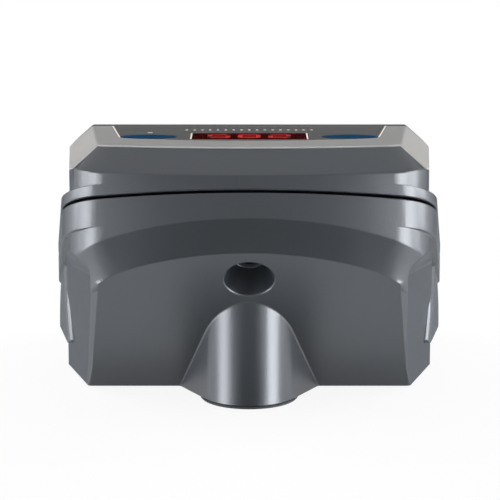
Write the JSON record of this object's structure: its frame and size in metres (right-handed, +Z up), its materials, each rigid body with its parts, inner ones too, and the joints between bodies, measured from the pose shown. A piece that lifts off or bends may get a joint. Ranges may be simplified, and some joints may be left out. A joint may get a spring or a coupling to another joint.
{
  "type": "banknote counting machine",
  "caption": "Compact banknote counting machine: bowed grey case, tilted panel with red digit display and keys, note table with sliding clamp, geared finger rotor.",
  "frame": {"origin": "on the bench, under the middle of the machine's bounding box", "axes": "+X to the user's right, +Y away from the user towards the bowed rear, +Z up"},
  "size_m": [0.145, 0.136, 0.0986],
  "materials": {
    "case": "fine moulded grain",
    "bezel": "fine moulded grain, warm light grey",
    "film": "printed polyester film",
    "red_window": "red tinted clear plastic",
    "led": "potted digit block",
    "blue_key": "smooth moulded keys",
    "lens": "diffused lens",
    "black_plastic": "moulded black plastic",
    "circuit_board": "solder mask on glass fibre board",
    "steel": "bright turned and sheet steel",
    "brass": "turned",
    "nylon": "natural nylon",
    "rubber": "soft black rubber"
  },
  "bodies": {
    "base": {"lower_case": "case", "upper_cover": "case", "front_panel": "case", "note_table": "case", "table_floor": "case", "top_bezel": "bezel", "keypad_overlay": "film", "display_window": "red_window", "led_display": "led", "status_light": "lens", "key_switches": "black_plastic", "infrared_eyes": "black_plastic", "power_jack": "black_plastic", "display_board": "circuit_board", "main_board": "circuit_board", "guide_rods": "steel", "idler_stud": "steel", "chassis_screws": "steel", "chassis_plate": "steel", "drive_motor": "steel", "lower_bush": "brass", "upper_bush": "brass", "board_spacers": "brass", "rubber_feet": "rubber", "bulge_foot": "rubber", "seam_seal": "rubber"},
    "left_key": {"left_key": "blue_key"},
    "right_key": {"right_key": "blue_key"},
    "clamp": {"clamp_carriage": "black_plastic", "clamp_plate": "case", "clamp_pad": "rubber"},
    "rotor": {"rotor_shaft": "steel", "rotor_gear": "nylon", "rotor_drum": "nylon", "rotor_fingers": "rubber"},
    "idler": {"idler_gear": "nylon"},
    "armature": {"motor_shaft": "steel", "motor_pinion": "brass"}
  },
  "joints": [
    {"name": "left_key_press", "type": "slide", "parent": "base", "child": "left_key", "axis": [0, 0.0872, -0.9962], "range_m": [0, 0.0008], "stiffness_N_per_m": 800, "springref_m": -0.0008},
    {"name": "right_key_press", "type": "slide", "parent": "base", "child": "right_key", "axis": [0, 0.0872, -0.9962], "range_m": [0, 0.0008], "stiffness_N_per_m": 800, "springref_m": -0.0008},
    {"name": "clamp_slide", "type": "slide", "parent": "base", "child": "clamp", "axis": [0, 1, 0], "range_m": [0, 0.023]},
    {"name": "rotor_spin", "type": "hinge", "parent": "base", "child": "rotor", "pos_m": [0.028, -0.0055, 0.05], "axis": [0, 0, 1], "continuous": true},
    {"name": "idler_spin", "type": "hinge", "parent": "base", "child": "idler", "pos_m": [0.00895, 0.0091, 0.05], "axis": [0, 0, 1], "continuous": true},
    {"name": "motor_spin", "type": "hinge", "parent": "base", "child": "armature", "pos_m": [0, 0.0305, 0.05], "axis": [0, 0, 1], "continuous": true}
  ],
  "couplings": [
    {"joint": "idler_spin", "follows": "rotor_spin", "ratio": -0.5},
    {"joint": "motor_spin", "follows": "rotor_spin", "ratio": 1.1111}
  ]
}
